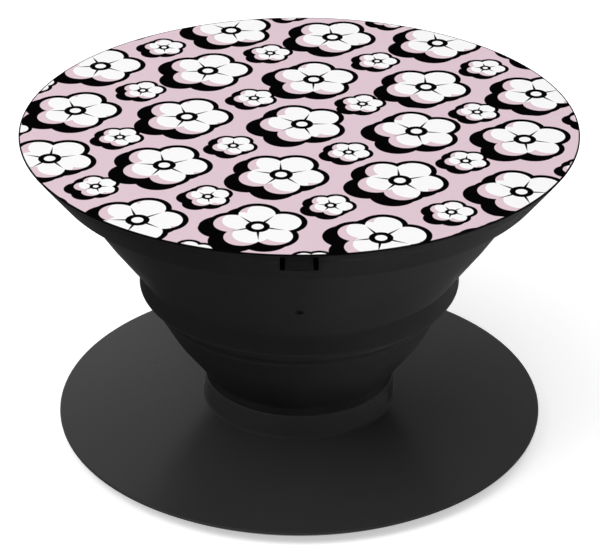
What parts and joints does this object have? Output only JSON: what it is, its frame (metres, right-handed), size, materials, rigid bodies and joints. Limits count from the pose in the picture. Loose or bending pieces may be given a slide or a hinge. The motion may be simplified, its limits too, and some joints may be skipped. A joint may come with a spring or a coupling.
{
  "type": "collapsible phone grip",
  "caption": "Round stick-on phone grip: a thin base disc, a moulded accordion neck that pops out or folds flat, and a printed round top that locks with a quarter turn.",
  "frame": {"origin": "centre of the adhesive pad's lower face, which sticks to the phone", "axes": "+Z out of the phone through the base, the accordion and the top; -Y towards the front spring finger and the air vent"},
  "size_m": [0.0397, 0.0396, 0.0237],
  "materials": {
    "adhesive_gel": "tacky dark gel with a soft sheen",
    "base_plastic": "satin black polycarbonate with a very fine moulded texture",
    "accordion_rubber": "smooth satin black elastomer",
    "ring_plastic": "satin black polycarbonate",
    "top_plastic": "satin black polycarbonate",
    "printed_face": "matt printed film: black and white blossoms on dusty pink"
  },
  "bodies": {
    "base": {"adhesive_pad": "adhesive_gel", "base_plate": "base_plastic", "accordion": "accordion_rubber"},
    "ring": {"lock_ring": "ring_plastic"},
    "top": {"top_disc": "top_plastic", "print_insert": "printed_face"}
  },
  "joints": [
    {"name": "pop", "type": "slide", "parent": "base", "child": "ring", "axis": [0, 0, 1], "range_m": [-0.0167, 0], "deforming": ["accordion"]},
    {"name": "quarter_turn", "type": "hinge", "parent": "ring", "child": "top", "pos_m": [0, 0, 0.0222], "axis": [0, 0, 1], "range_deg": [0, 90]}
  ]
}
